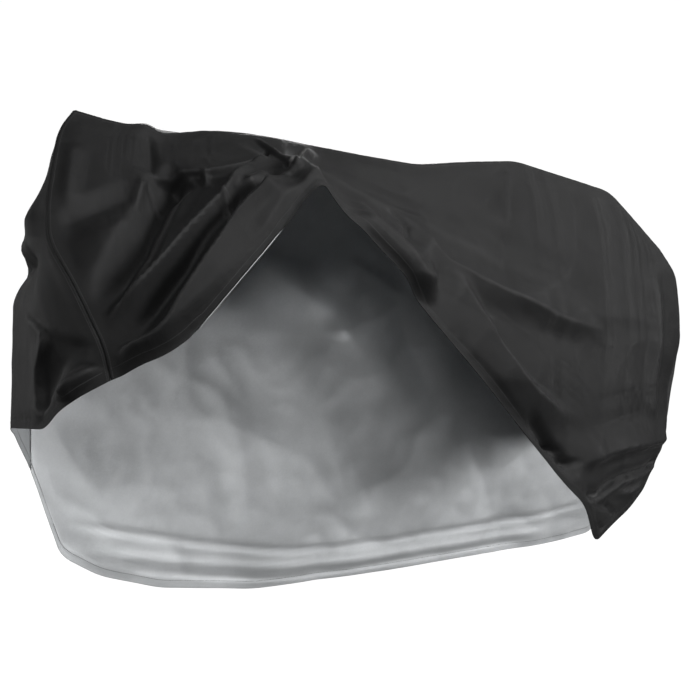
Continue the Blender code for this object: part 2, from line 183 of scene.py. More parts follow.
REAR_PART_FOLDS = (
    # The long ridge from the gather to the rear, and the branch that runs down from it.
    Fold(((-0.155, 1.020), (-0.110, 0.955), (-0.065, 0.900), (0.005, 0.870), (0.090, 0.840),
          (0.200, 0.810), (0.340, 0.770), (0.550, 0.745)),
         0.130, 0.070, (0.020, 0.030, 0.010), 0.0, 0.6, 0.8, (0.15, 0.3)),
    Fold(((-0.070, 0.880), (-0.045, 0.850), (-0.005, 0.810), (0.025, 0.765), (0.070, 0.695),
          (0.160, 0.605), (0.325, 0.520)),
         0.045, 0.120, (0.020, 0.036, 0.018), 0.0, 0.4, 0.8, (0.12, 0.25)),
    # The cloth turns under along the opening.
    Fold(((-0.345, 0.990), (-0.315, 0.960), (-0.290, 0.940), (-0.260, 0.915), (-0.220, 0.875),
          (-0.190, 0.850), (-0.085, 0.830)),
         0.110, 0.046, (0.030, 0.050, 0.036), 0.0, 0.3, 1.0, (0.2, 0.2)),
    Fold(((-0.180, 1.015), (-0.150, 0.980), (-0.145, 0.960), (-0.165, 0.920)),
         0.012, 0.018, (-0.004, -0.010, -0.004), 0.0, 0.7),
    # The packing crease at the rear, and the wide shallow hollow that it lies in.
    Fold(((0.180, 1.005), (0.190, 1.085), (0.195, 1.150)),
         0.110, 0.022, (-0.004, -0.006, -0.004), 0.0, 0.8, 1.0, (0.2, 0.15)),
    Fold(((0.110, 0.810), (0.160, 0.915), (0.185, 1.005), (0.190, 1.150)),
         0.170, 0.190, (-0.014, -0.030, -0.002), 0.0, 0.9, 1.0, (0.35, 0.3)),
    # The swell beside the rear seam.
    Fold(((0.630, 0.465), (0.665, 0.620), (0.700, 0.800), (0.700, 0.940)),
         0.060, 0.040, (0.010, 0.018, 0.008), 0.0, 0.3),
    # The lower corner bulges, is drawn in along a band, and flares out in a lip under the band.
    Fold(((0.300, 0.415), (0.360, 0.435), (0.495, 0.455), (0.775, 0.465)),
         0.080, 0.030, (0.016, 0.028, 0.014), -0.008, 0.5),
    Fold(((0.320, 0.350), (0.380, 0.345), (0.425, 0.360), (0.490, 0.375), (0.555, 0.382),
          (0.625, 0.387), (0.680, 0.410)),
         0.034, 0.010, (-0.019, -0.028, -0.014), 0.0, 0.8, 0.8, (0.06, 0.1)),
    Fold(((0.325, 0.340), (0.370, 0.335), (0.415, 0.350), (0.475, 0.365), (0.535, 0.373),
          (0.600, 0.378), (0.730, 0.392)),
         0.008, 0.016, (0.004, 0.008, 0.005), 0.003, 0.8, 0.8, (0.1, 0.1)),
    # Wrinkles that run into the band, and those of the flap under it.
    Fold(((0.130, 0.560), (0.220, 0.470), (0.310, 0.395)),
         0.030, 0.030, (-0.010, -0.022, -0.012), 0.0, 0.3),
    Fold(((0.185, 0.480), (0.215, 0.475), (0.260, 0.460)),
         0.010, 0.014, (-0.012, -0.014, -0.006), 0.0, 0.7),
    Fold(((0.230, 0.435), (0.270, 0.430), (0.330, 0.435)),
         0.012, 0.012, (-0.010, -0.012, -0.004), 0.0, 0.7),
    Fold(((0.340, 0.335), (0.410, 0.320), (0.440, 0.300), (0.450, 0.280)),
         0.008, 0.014, (-0.008, -0.012, -0.007), 0.0, 0.8),
    Fold(((0.360, 0.285), (0.395, 0.260)), 0.007, 0.010, (-0.005, -0.008, -0.005), 0.0, 0.8),
    Fold(((0.440, 0.350), (0.520, 0.340), (0.600, 0.360)),
         0.016, 0.020, (0.002, 0.006, 0.003), 0.0, 0.5),
)

# Cells of the near side's cloth, closer in its gathered part.
NEAR_CELLS_ALONG = 320
NEAR_CELLS_DOWN = 118
GATHERED_SHARE = 0.33
CELLS_IN_GATHERED_SHARE = 0.52
# Where the lines of cells run beside each seam and hem, so that tucks and stitches are drawn.
EDGE_STEPS = (0.001, 0.002, 0.003, 0.0045, 0.0065, 0.009, 0.012, 0.016, 0.020, 0.025)

# How far a fold is held at a seam, and how much of it is left at a hem.
SEAM_HOLD = 0.040
HEM_SHARE = 0.45
# How deep the sewn edges turn inward, and over what width.
TUCK_DEPTH = 0.0022
TUCK_WIDTH = 0.0028
# The hem is turned once and stitched at this distance from the edge.
HEM_STITCH = 0.020
SEAM_STITCH = 0.007
# Height and width of the soft waves, of the crushed creases and the small ones on their backs, and
# of the puckers along the stitches.
WAVE_HEIGHT = 0.0025
WAVE_WIDTH = 0.16
CRUSH_HEIGHT = 0.0030
CRUSH_WIDTH = 0.26
SMALL_CRUSH_SHARE = 0.22
SMALL_CRUSH_WIDTH = 0.085
PUCKER_HEIGHT = 0.0012
PUCKER_WIDTH = 0.017
# Where the puckers begin beside a seam, and how far they reach from a seam and a hem's stitches.
SEAM_PUCKER_START = 0.004
SEAM_PUCKER_REACH = 0.016
HEM_PUCKER_REACH = 0.010
# The groove that the stitches press into a hem.
GROOVE_DEPTH = 0.0009
GROOVE_WIDTH = 0.0022
# How far the unevenness is shifted from one seed to the next, so that no two pieces are alike.
SEED_SHIFT = (7.3, 3.1, 5.7)


def rounded(places, radius=CORNER_RADIUS):
    """The places joined by straight runs, each corner rounded off."""
    places = np.array(places, float)
    line = [places[0]]
    for before, corner, after in zip(places, places[1:], places[2:]):
        reach_in = min(radius, CORNER_SHARE * np.linalg.norm(before - corner))
        reach_out = min(radius, CORNER_SHARE * np.linalg.norm(after - corner))
        enter = corner + (before - corner) / np.linalg.norm(before - corner) * reach_in
        leave = corner + (after - corner) / np.linalg.norm(after - corner) * reach_out
        for t in np.linspace(0.0, 1.0, CORNER_STEPS + 1):
            line.append((1 - t) ** 2 * enter + 2 * t * (1 - t) * corner + t**2 * leave)
    line.append(places[-1])
    return np.array(line)


def along_line(line):
    """The distance of each place on the line from its start."""
    steps = np.linalg.norm(np.diff(line, axis=0), axis=1)
    return np.concatenate([[0.0], np.cumsum(steps)])


def cut_at(line, shares):
    """Places on the line at these shares of its length."""
    run = along_line(line)
    return np.stack([np.interp(shares * run[-1], run, line[:, k]) for k in range(3)], axis=1)


def cell_shares(cells, length, busy_share=0.5, cells_in_busy_share=0.5):
    """Shares of a length cut into cells, closer in its busy first part and at both ends."""
    edge = np.array(EDGE_STEPS) / length
    inner = cells - 2 * len(edge)
    even = np.linspace(0.0, 1.0, inner + 1)
    placed = np.interp(even, (0.0, cells_in_busy_share, 1.0), (0.0, busy_share, 1.0))
    middle = edge[-1] + placed * (1.0 - 2 * edge[-1])
    return np.concatenate([[0.0], edge, middle[1:-1], 1.0 - edge[::-1], [1.0]])


def patch(top, bottom, left, right, along_cells, down_cells, busy=(0.5, 0.5)):
    """A smooth patch between four lines that share their corners: rows down, columns along."""
    u = cell_shares(along_cells, along_line(top)[-1], *busy)
    v = cell_shares(down_cells, along_line(left)[-1])
    top, bottom = cut_at(top, u), cut_at(bottom, u)
    left, right = cut_at(left, v), cut_at(right, v)
    u, v = u[None, :, None], v[:, None, None]
    across = (1 - u) * left[:, None] + u * right[:, None]
    down = (1 - v) * top[None] + v * bottom[None]
    corners = (1 - v) * ((1 - u) * top[0] + u * top[-1])
    corners = corners + v * ((1 - u) * bottom[0] + u * bottom[-1])
    return across + down - corners


def outward(grid, side):
    """Unit directions out of the hollow, where side is 1 or -1 for how the patch is wound."""
    along = np.gradient(grid, axis=1)
    down = np.gradient(grid, axis=0)
    normal = np.cross(along, down) * side
    return normal / np.linalg.norm(normal, axis=2, keepdims=True)


def eased(distance, reach):
    """Rises smoothly from 0 to 1 over the reach."""
    t = np.clip(distance / reach, 0.0, 1.0)
    return t * t * (3 - 2 * t)


def smooth_path(places, steps=10):
    """A smooth line through the places of a fold's path."""
    places = np.array(places, float)
    before = np.vstack([2 * places[0] - places[1], places[:-1]])
    after = np.vstack([places[1:], 2 * places[-1] - places[-2]])
    slope = (after - before) / 2
    line = []
    for n in range(len(places) - 1):
        for t in np.arange(steps) / steps:
            line.append(
                (2 * t**3 - 3 * t**2 + 1) * places[n]
                + (t**3 - 2 * t**2 + t) * slope[n]
                + (3 * t**2 - 2 * t**3) * places[n + 1]
                + (t**3 - t**2) * slope[n + 1]
            )
    line.append(places[-1])
    return np.array(line)


def fold_push(flat, fold):
    """How far one fold pushes each place of the cloth, and how far it carries it sideways."""
    line = smooth_path(fold.path)
    run = along_line(line)
    reach = max(fold.left, fold.right)
    push = np.zeros(flat.shape[:2])
    carry = np.zeros(flat.shape)
    near = np.all((flat > line.min(0) - reach) & (flat < line.max(0) + reach), axis=2)
    places = flat[near]
    if not len(places):
        return push, carry
    nearest = np.full(len(places), np.inf)
    travelled = np.zeros(len(places))
    on_left = np.zeros(len(places), bool)
    way = np.zeros((len(places), 2))
    for n in range(len(line) - 1):
        step = line[n + 1] - line[n]
        offset = places - line[n]
        share = np.clip(offset @ step / (step @ step), 0.0, 1.0)
        away = offset - share[:, None] * step
        distance = np.linalg.norm(away, axis=1)
        closer = distance < nearest
        nearest = np.where(closer, distance, nearest)
        travelled = np.where(closer, (run[n] + share * (run[n + 1] - run[n])) / run[-1], travelled)
        on_left = np.where(closer, step[0] * offset[:, 1] - step[1] * offset[:, 0] > 0, on_left)
        across = np.array((-step[1], step[0])) / np.linalg.norm(step)
        way = np.where(closer[:, None], across, way)
    width = np.where(on_left, fold.left, fold.right) * (1 + (fold.narrow - 1) * travelled)
    s = np.clip(nearest / width, 0.0, 1.0)
    crest = (1 - fold.crisp) * np.cos(0.5 * math.pi * s) ** 2 + fold.crisp * (1 - s) ** 2
    rise, fall = fold.ends
    crest = crest * eased(travelled, rise) * eased(1 - travelled, fall)
    push[near] = np.interp(travelled, (0.0, 0.5, 1.0), fold.heights) * crest
    carry[near] = way * (fold.lap * crest)[:, None]
    return push, carry


def from_edges(grid):
    """How far each place lies from the first and last row and the first and last column."""
    distances = {}
    for axis, (first, last) in enumerate((("top", "bottom"), ("left", "right"))):
        steps = np.linalg.norm(np.diff(grid, axis=axis), axis=2)
        run = np.cumsum(steps, axis=axis)
        run = np.concatenate([np.zeros_like(np.take(run, [0], axis=axis)), run], axis=axis)
        distances[first] = run
        distances[last] = np.take(run, [-1], axis=axis) - run
    return distances


def uneven(grid, size, seed):
    """Smooth unevenness between -1 and 1, with humps of about this size."""
    offset = Vector([seed * shift for shift in SEED_SHIFT])
    values = [noise.noise(Vector(place) / size + offset) for place in grid.reshape(-1, 3)]
    return np.array(values).reshape(grid.shape[:2])


def crushed(grid, size, seed):
    """Flat facets that meet in crisp creases, as on cloth that was packed small."""
    return 1 - 4 * np.abs(uneven(grid, size, seed))


def folded(grid, side, folds, axes, seams="top left right", seed=1, crush=CRUSH_HEIGHT):
    """The patch with its folds, unevenness and edges: those in seams are tucked, the rest hems."""
    flat = grid[..., list(axes)]
    push = np.zeros(grid.shape[:2])
    carry = np.zeros(grid.shape[:2] + (2,))
    for fold in folds:
        by, sideways = fold_push(flat, fold)
        push = push + by
        carry = carry + sideways
    push = push + WAVE_HEIGHT * uneven(grid, WAVE_WIDTH, seed)
    push = push + crush * crushed(grid, CRUSH_WIDTH, seed + 1)
    push = push + SMALL_CRUSH_SHARE * crush * crushed(grid, SMALL_CRUSH_WIDTH, seed + 2)
    distances = from_edges(grid)
    for name, distance in distances.items():
        rise = eased(distance, SEAM_HOLD)
        kept = rise if name in seams else HEM_SHARE + (1 - HEM_SHARE) * rise
        push = push * kept
        carry = carry * kept[..., None]
    pucker = uneven(grid, PUCKER_WIDTH, seed + 3)
    for name, distance in distances.items():
        if name in seams:
            fading = np.exp(-distance / SEAM_PUCKER_REACH)
            push = push + PUCKER_HEIGHT * pucker * fading * eased(distance, SEAM_PUCKER_START)
            push = push - TUCK_DEPTH * np.clip(1 - distance / TUCK_WIDTH, 0.0, 1.0) ** 2
        else:
            from_stitches = distance - HEM_STITCH
            push = push - GROOVE_DEPTH * np.exp(-((from_stitches / GROOVE_WIDTH) ** 2))
            fading = np.exp(-((from_stitches / HEM_PUCKER_REACH) ** 2))
            push = push + PUCKER_HEIGHT * pucker * fading
    moved = grid + outward(grid, side) * push[..., None]
    moved[..., axes[0]] += carry[..., 0]
    moved[..., axes[1]] += carry[..., 1]
    return moved


near_grid = patch(
    rounded(NEAR_SEAM_TOP),
    rounded(NEAR_HEM),
    rounded(NEAR_SEAM_FRONT),
    rounded(NEAR_SEAM_REAR),
    NEAR_CELLS_ALONG,
    NEAR_CELLS_DOWN,
    (GATHERED_SHARE, CELLS_IN_GATHERED_SHARE),
)
near_cloth = folded(near_grid, -1, GATHERED_FOLDS + FRONT_PART_FOLDS + REAR_PART_FOLDS, (0, 2))

# The free edge rolls outward between the front seam and the gather, and shows its silver side. It
# does so between these shares of its length, and the roll comes in and dies out over two more.
ROLL_RADIUS = 0.0022
ROLL_FROM = 0.12
ROLL_TO = 0.35
ROLL_COMES_IN = 0.04
ROLL_DIES_OUT = 0.05


def rolled_hem(cloth, side):
    """The cloth with its free edge rolled outward over a part of its length."""
    distance = from_edges(cloth)["bottom"]
    length = math.pi * ROLL_RADIUS
    shares = np.linspace(0.0, 1.0, cloth.shape[1])
    along = eased(shares - ROLL_FROM, ROLL_COMES_IN) * eased(ROLL_TO - shares, ROLL_DIES_OUT)
    normal = outward(cloth, side)
    moved = cloth.copy()
    for column in np.nonzero(along > 0)[0]:
        strip, gone = cloth[:, column], distance[:, column]
        turned = gone < length
        out = normal[np.nonzero(~turned)[0][-1], column]
        start = np.array([np.interp(length, gone[::-1], strip[::-1, k]) for k in range(3)])
        down = (strip[-1] - start) / np.linalg.norm(strip[-1] - start)
        angle = (length - gone[turned]) / ROLL_RADIUS
        curl = start + ROLL_RADIUS * (
            np.sin(angle)[:, None] * down + (1 - np.cos(angle))[:, None] * out
        )
        moved[turned, column] += along[column] * (curl - strip[turned])
    return moved


near_cloth = rolled_hem(near_cloth, -1)


class Shade:
    """A socket of a shader, with which a value is worked out as a plain expression."""

    def __init__(self, tree, socket):
        self.tree = tree
        self.socket = socket

    def node(self, kind, settings=(), **sockets):
        """A node of this kind. A socket is named by its name, or i0, i1 and so on by its place."""
        made = self.tree.nodes.new(kind)
        for key, value in dict(settings).items():
            setattr(made, key, value)
        for key, value in sockets.items():
            slot = made.inputs[int(key[1:]) if key[1:].isdigit() else key]
            if isinstance(value, Shade):
                self.tree.links.new(value.socket, slot)
            else:
                slot.default_value = value
        return made

    def value(self, kind, output, settings=(), **sockets):
        """One output of a new node, by its name or its place."""
        return Shade(self.tree, self.node(kind, settings, **sockets).outputs[output])

    def maths(self, operation, *values):
        """What the operation makes of the values."""
        sockets = {f"i{n}": value for n, value in enumerate(values)}
        return self.value("ShaderNodeMath", 0, {"operation": operation}, **sockets)

    def __add__(self, other):
        return self.maths("ADD", self, other)

    __radd__ = __add__

    def __mul__(self, other):
        return self.maths("MULTIPLY", self, other)

    __rmul__ = __mul__

    def __sub__(self, other):
        return self.maths("SUBTRACT", self, other)

    def ramp(self, low, high):
        """0 at low and 1 at high, smooth between."""
        settings = {"interpolation_type": "SMOOTHSTEP"}
        return self.value("ShaderNodeMapRange", 0, settings, i0=self, i1=low, i2=high)

    def blend(self, first, second):
        """From the first colour to the second, as this value goes from 0 to 1."""
        return self.value("ShaderNodeMix", 2, {"data_type": "RGBA"}, i0=self, i6=first, i7=second)


def new_material(name):
    """A material with its shader, and a Shade to start its expressions from."""
    material = bpy.data.materials.new(name)
    material.use_nodes = True
    tree = material.node_tree
    return material, tree.nodes["Principled BSDF"], Shade(tree, None)


def finish_material(start, shader, colour, roughness, height, strength, depth):
    """Joins what changes over the surface to the shader."""
    bump = start.node("ShaderNodeBump", Strength=strength, Distance=depth, Height=height)
    start.tree.links.new(colour.socket, shader.inputs["Base Color"])
    start.tree.links.new(roughness.socket, shader.inputs["Roughness"])
    start.tree.links.new(bump.outputs[0], shader.inputs["Normal"])


def noisy(start, place, scale, detail, rough=0.55):
    """Cloudy noise between 0 and 1."""
    return start.value(
        "ShaderNodeTexNoise", 0, i0=place, Scale=scale, Detail=detail, Roughness=rough
    )


def woven(start, plan, thread):
    """Height of a plain weave: threads that pass over and under each other."""
    settings = {"operation": "SCALE"}
    spot = start.value("ShaderNodeVectorMath", 0, settings, i0=plan, i3=math.pi / thread)
    parts = start.node("ShaderNodeSeparateXYZ", i0=spot)
    warp = start.maths("SINE", Shade(start.tree, parts.outputs[0]))
    weft = start.maths("SINE", Shade(start.tree, parts.outputs[1]))
    return warp * weft


def crinkled(start, place):
    """Fine crinkles: creases where two slow waves of the cloth change sign."""
    slow = noisy(start, place, scale=16.0, detail=2.0, rough=0.5)
    quick = noisy(start, place, scale=52.0, detail=2.0, rough=0.5)
    return start.maths("ABSOLUTE", slow - 0.5) * 3.0 + start.maths("ABSOLUTE", quick - 0.5)


# From the deep black to a paler one: random mottle and grain, painted light on crests, edge wear.
BLACK_DEEP = (0.0055, 0.0055, 0.0057, 1.0)
BLACK_MOTTLED_AND_LIT = (0.0150, 0.0150, 0.0154, 1.0)
SILVER_DULL = (0.46, 0.475, 0.485, 1.0)
SILVER_BRIGHT = (0.66, 0.675, 0.69, 1.0)
THREAD_DEEP = (0.018, 0.018, 0.018, 1.0)
THREAD_FUZZY = (0.045, 0.045, 0.046, 1.0)
# From one thread of the weave to the next, and how deep weave and crinkles stand in the surface.
WEAVE_THREAD = 0.0007
WEAVE_DEPTH = 0.0006


def black_cloth():
    """The outside: satin coated weave, with painted light on its crests and rubbed at its edges."""
    material, shader, start = new_material("black_cloth")
    place = start.value("ShaderNodeTexCoord", "Object")
    plan = start.value("ShaderNodeUVMap", "UV", {"uv_map": "plan"})
    crest_light_and_edge_wear = start.value("ShaderNodeAttribute", "Fac", {"attribute_name": "crest_light_and_edge_wear"})
    mottle = noisy(start, place, scale=7.0, detail=4.0)
    grain = noisy(start, place, scale=170.0, detail=2.0)
    # Painted light: the tone is lighter on the crests than in the hollows, on top of mottle, grain
    # and wear.
    tone = mottle.ramp(0.30, 0.75) * 0.35 + grain * 0.20 + crest_light_and_edge_wear * 0.5
    roughness = 0.47 + mottle * 0.14 - crest_light_and_edge_wear * 0.08 + grain * 0.05
    height = woven(start, plan, WEAVE_THREAD) * 0.5 + crinkled(start, place) * 1.6
    colour = tone.blend(BLACK_DEEP, BLACK_MOTTLED_AND_LIT)
    finish_material(start, shader, colour, roughness, height, strength=0.4, depth=WEAVE_DEPTH)
    shader.inputs["Specular IOR Level"].default_value = 0.28
    shader.inputs["Sheen Weight"].default_value = 0.06
    shader.inputs["Sheen Roughness"].default_value = 0.4
    return material


def silver_cloth():
    """The inside: a thin metallic coating on the weave, cloudy and a little scuffed."""
    material, shader, start = new_material("silver_cloth")
    place = start.value("ShaderNodeTexCoord", "Object")
    plan = start.value("ShaderNodeUVMap", "UV", {"uv_map": "plan"})
    cloud = noisy(start, place, scale=6.0, detail=4.0)
    grain = noisy(start, place, scale=240.0, detail=2.0)
    tone = cloud.ramp(0.25, 0.8) * 0.6 + grain * 0.4
    roughness = 0.40 + cloud * 0.16
    height = woven(start, plan, WEAVE_THREAD) * 0.4 + crinkled(start, place) * 1.4
    colour = tone.blend(SILVER_DULL, SILVER_BRIGHT)
    finish_material(start, shader, colour, roughness, height, strength=0.4, depth=WEAVE_DEPTH)
    shader.inputs["Metallic"].default_value = 0.35
    return material


def black_thread():
    """The sewing thread: spun polyester, a little fuzzy."""
    material, shader, start = new_material("black_thread")
    place = start.value("ShaderNodeTexCoord", "Object")
    fuzz = noisy(start, place, scale=900.0, detail=2.0)
    colour = fuzz.blend(THREAD_DEEP, THREAD_FUZZY)
    finish_material(start, shader, colour, 0.55 + fuzz * 0.2, fuzz, strength=0.3, depth=0.0002)
    return material


BLACK = black_cloth()
SILVER = silver_cloth()
THREAD = black_thread()

# One stitch of the topstitching: its pitch, the length that shows and the thread's radius, which
# is more than half the cloth's thickness, so that the stitch shows on both sides.
STITCH_PITCH = 0.0045
STITCH_LENGTH = 0.0032
STITCH_RADIUS = 0.0009
STITCH_SIDES = 5
# A line of stitches stops this many cells before the corners.
CELLS_WITHOUT_STITCHES = 4


def stitching_nodes():
    """Nodes that set a short thread at each pitch along a line."""
    tree = bpy.data.node_groups.new("stitches_along_a_line", "GeometryNodeTree")
    face = tree.interface
    face.new_socket("Line", in_out="INPUT", socket_type="NodeSocketGeometry")
    for name in ("Pitch", "Length", "Radius"):
        face.new_socket(name, in_out="INPUT", socket_type="NodeSocketFloat")
    face.new_socket("Thread", in_out="INPUT", socket_type="NodeSocketMaterial")
    face.new_socket("Stitches", in_out="OUTPUT", socket_type="NodeSocketGeometry")
    given = tree.nodes.new("NodeGroupInput")
    made = tree.nodes.new("NodeGroupOutput")
    line = tree.nodes.new("GeometryNodeMeshToCurve")
    spots = tree.nodes.new("GeometryNodeCurveToPoints")
    spots.mode = "LENGTH"
    stitch = tree.nodes.new("GeometryNodeMeshCylinder")
    stitch.inputs["Vertices"].default_value = STITCH_SIDES
    placed = tree.nodes.new("GeometryNodeInstanceOnPoints")
    whole = tree.nodes.new("GeometryNodeRealizeInstances")
    finish = tree.nodes.new("GeometryNodeSetMaterial")
    link = tree.links.new
    link(given.outputs["Line"], line.inputs["Mesh"])
    link(line.outputs["Curve"], spots.inputs["Curve"])
    link(given.outputs["Pitch"], spots.inputs["Length"])
    link(given.outputs["Radius"], stitch.inputs["Radius"])
    link(given.outputs["Length"], stitch.inputs["Depth"])
    link(spots.outputs["Points"], placed.inputs["Points"])
    link(spots.outputs["Rotation"], placed.inputs["Rotation"])
    link(stitch.outputs["Mesh"], placed.inputs["Instance"])
    link(placed.outputs["Instances"], whole.inputs["Geometry"])
    link(whole.outputs["Geometry"], finish.inputs["Geometry"])
    link(given.outputs["Thread"], finish.inputs["Material"])
    link(finish.outputs["Geometry"], made.inputs["Stitches"])
    return tree


STITCHING = stitching_nodes()


def line_at(cloth, edge, distance):
    """The line on the cloth that keeps this distance from one of its edges."""
    away = from_edges(cloth)[edge]
    strips = cloth if edge in ("left", "right") else cloth.transpose(1, 0, 2)
    away = away if edge in ("left", "right") else away.T
    line = []
    for strip, gone in zip(strips, away):
        order = np.argsort(gone)
        line.append([np.interp(distance, gone[order], strip[order, k]) for k in range(3)])
    return np.array(line)


def sewn(name, cloth, hems="bottom"):
    """The topstitching of one piece of cloth: a line along each edge, farther in along its hems."""
    places, edges = [], []
    for edge in ("top", "bottom", "left", "right"):
        line = line_at(cloth, edge, HEM_STITCH if edge in hems else SEAM_STITCH)
        line = line[CELLS_WITHOUT_STITCHES:-CELLS_WITHOUT_STITCHES]
        first = len(places)
        places += (line - np.array((0.0, 0.0, CARRIED_HEIGHT))).tolist()
        edges += [(n, n + 1) for n in range(first, len(places) - 1)]
    mesh = bpy.data.meshes.new(name + "_line")
    mesh.from_pydata(places, edges, [])
    line = bpy.data.objects.new(name + "_line", mesh)
    bpy.context.scene.collection.objects.link(line)
    sewing = line.modifiers.new("stitches", "NODES")
    sewing.node_group = STITCHING
    values = {
        "Pitch": STITCH_PITCH,
        "Length": STITCH_LENGTH,
        "Radius": STITCH_RADIUS,
        "Thread": THREAD,
    }
    for socket in STITCHING.interface.items_tree:
        if socket.name in values:
            sewing[socket.identifier] = values[socket.name]
    seen = line.evaluated_get(bpy.context.evaluated_depsgraph_get())
    stitches = bpy.data.meshes.new_from_object(seen)
    stitches.name = name
    line.modifiers.remove(sewing)
    bpy.data.objects.remove(line)
    piece = bpy.data.objects.new(name, stitches)
    bpy.context.scene.collection.objects.link(piece)
    return piece


# The black is painted lighter, as painted light, where the cloth stands out of its surroundings by
# this much, and it is worn a little along its edges.
LIT_CREST_HEIGHT = 0.0006
WORN_EDGE_SHARE = 0.35
WORN_EDGE_WIDTH = 0.003


def sheet_of_cloth(name, grid, side):
    """One piece: its mesh with the plan of the cloth in metres, thickened, black out, silver in."""
    rows, columns = grid.shape[:2]
    grid = grid - np.array((0.0, 0.0, CARRIED_HEIGHT))
    index = np.arange(rows * columns).reshape(rows, columns)
    corners = np.stack([index[:-1, :-1], index[:-1, 1:], index[1:, 1:], index[1:, :-1]], axis=-1)
    faces = corners.reshape(-1, 4)[:, :: 1 if side > 0 else -1]
    mesh = bpy.data.meshes.new(name)
    mesh.from_pydata(grid.reshape(-1, 3).tolist(), [], faces.tolist())
    distances = from_edges(grid)
    plan = np.stack([distances["left"], distances["bottom"]], axis=-1).reshape(-1, 2)
    layer = mesh.uv_layers.new(name="plan")
    layer.data.foreach_set("uv", plan[faces.reshape(-1)].astype(np.float32).reshape(-1))
    nearest_edge = np.minimum.reduce(list(distances.values()))
    # Painted light on the crests, which leaves the hollows darker as painted shade, and real wear
    # along the edges.
    smooth = (grid[:-2, 1:-1] + grid[2:, 1:-1] + grid[1:-1, :-2] + grid[1:-1, 2:]) / 4
    crest = ((grid[1:-1, 1:-1] - smooth) * outward(grid, side)[1:-1, 1:-1]).sum(axis=2)
    crest_light_and_edge_wear = np.zeros((rows, columns))
    crest_light_and_edge_wear[1:-1, 1:-1] = np.clip(crest / LIT_CREST_HEIGHT, 0.0, 1.0)
    crest_light_and_edge_wear = np.maximum(crest_light_and_edge_wear, WORN_EDGE_SHARE * np.exp(-nearest_edge / WORN_EDGE_WIDTH))
    attribute = mesh.attributes.new("crest_light_and_edge_wear", "FLOAT", "POINT")
    attribute.data.foreach_set("value", crest_light_and_edge_wear.astype(np.float32).reshape(-1))
    mesh.shade_smooth()
    mesh.materials.append(BLACK)
    mesh.materials.append(SILVER)
    piece = bpy.data.objects.new(name, mesh)
    bpy.context.scene.collection.objects.link(piece)
    thickness = piece.modifiers.new("cloth thickness", "SOLIDIFY")
    thickness.thickness = CLOTH_THICKNESS
    thickness.offset = 0.0
    thickness.material_offset = 1
    thickness.material_offset_rim = 0
    return piece


def declare(piece, stitches, node):
    """Hangs a piece of cloth and its stitching on the root body, and hides the model's part they
    replace.
    """
    for part in (piece, stitches):
        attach(part, "root")
    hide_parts(node)


# The panel's cloth, mapped flat in its plan, and its stitching. Only the part that hangs in sight is
# built.
near_side = sheet_of_cloth("near_side_cloth", near_cloth, -1)
near_stitching = sewn("near_side_stitching", near_cloth)
declare(near_side, near_stitching, "near_side_panel")

# -------------------------------------------------------------------------------- Far side panel
# The same cloth on the far side, which hangs to its full length. It has a wide shoulder below its
# top seam, its hem ripples, and its silver inside shows through the lifted near side.

FAR_SEAM_FRONT = (
    (-0.800, 0.120, 1.170),
    (-0.835, 0.135, 1.090),
    (-0.862, 0.155, 1.000),
    (-0.872, 0.190, 0.900),
    (-0.866, 0.240, 0.740),
    (-0.860, 0.270, 0.427),
)
FAR_SEAM_TOP = (
    (-0.800, 0.120, 1.170),
    (-0.500, 0.125, 1.150),
    (-0.100, 0.120, 1.130),
    (0.250, 0.120, 1.150),
    (0.560, 0.120, 1.100),
    (0.800, 0.120, 0.980),
)
FAR_SEAM_REAR = (
    (0.800, 0.120, 0.980),
    (0.900, 0.120, 0.890),
    (0.935, 0.130, 0.740),
    (0.935, 0.160, 0.520),
    (0.925, 0.210, 0.330),
)
FAR_HEM = (
    (-0.860, 0.270, 0.427),
    (-0.780, 0.330, 0.204),
    (-0.688, 0.350, 0.145),
    (-0.527, 0.360, 0.091),
    (-0.283, 0.360, 0.058),
    (0.150, 0.360, 0.059),
    (0.748, 0.350, 0.083),
    (0.877, 0.310, 0.110),
    (0.925, 0.210, 0.330),
)
